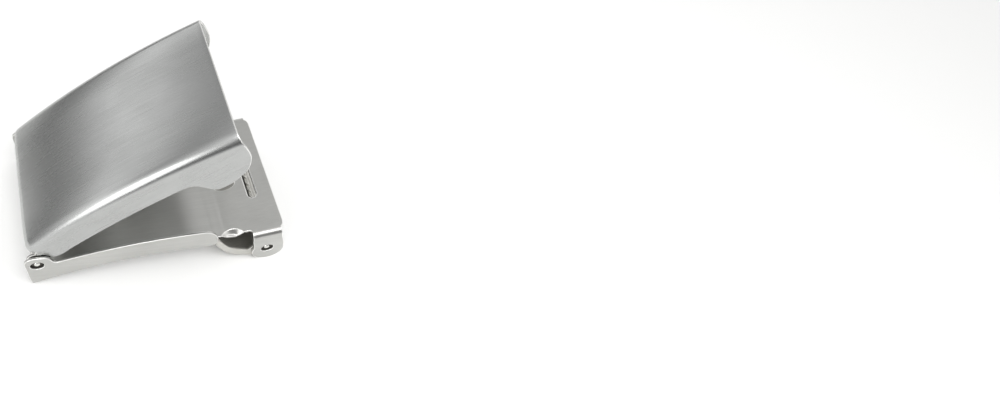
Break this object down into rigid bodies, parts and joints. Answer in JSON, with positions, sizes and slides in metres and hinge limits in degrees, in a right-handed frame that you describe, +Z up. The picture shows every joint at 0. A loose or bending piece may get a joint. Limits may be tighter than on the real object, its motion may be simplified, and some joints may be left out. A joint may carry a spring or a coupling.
{
  "type": "clamp belt buckle",
  "caption": "Flip-top clamp buckle for a webbing belt: an arched sheet-metal cover hinged on a folded base, with a toothed strap jaw under the base's end.",
  "frame": {"origin": "middle of the open buckle's length and width, on the surface it stands on", "axes": "+X along the belt from the hinge end to the strap end, +Y across the belt, +Z up"},
  "size_m": [0.0754, 0.044, 0.0572],
  "materials": {
    "base_steel": "satin",
    "cover_steel": "brushed",
    "pin_steel": "polished",
    "inner_steel": "satin"
  },
  "bodies": {
    "base": {"base_frame": "base_steel", "hinge_pin": "pin_steel", "jaw_pin": "pin_steel"},
    "cover": {"cover_plate": "cover_steel", "clamp_bracket": "inner_steel"},
    "jaw": {"strap_jaw": "inner_steel"}
  },
  "joints": [
    {"name": "cover_hinge", "type": "hinge", "parent": "base", "child": "cover", "pos_m": [-0.03435, 0, 0.0105], "axis": [0, -1, 0], "range_deg": [-27, 75]},
    {"name": "jaw_hinge", "type": "hinge", "parent": "base", "child": "jaw", "pos_m": [0.03245, 0, 0.0058], "axis": [0, -1, 0], "range_deg": [0, 75]}
  ]
}
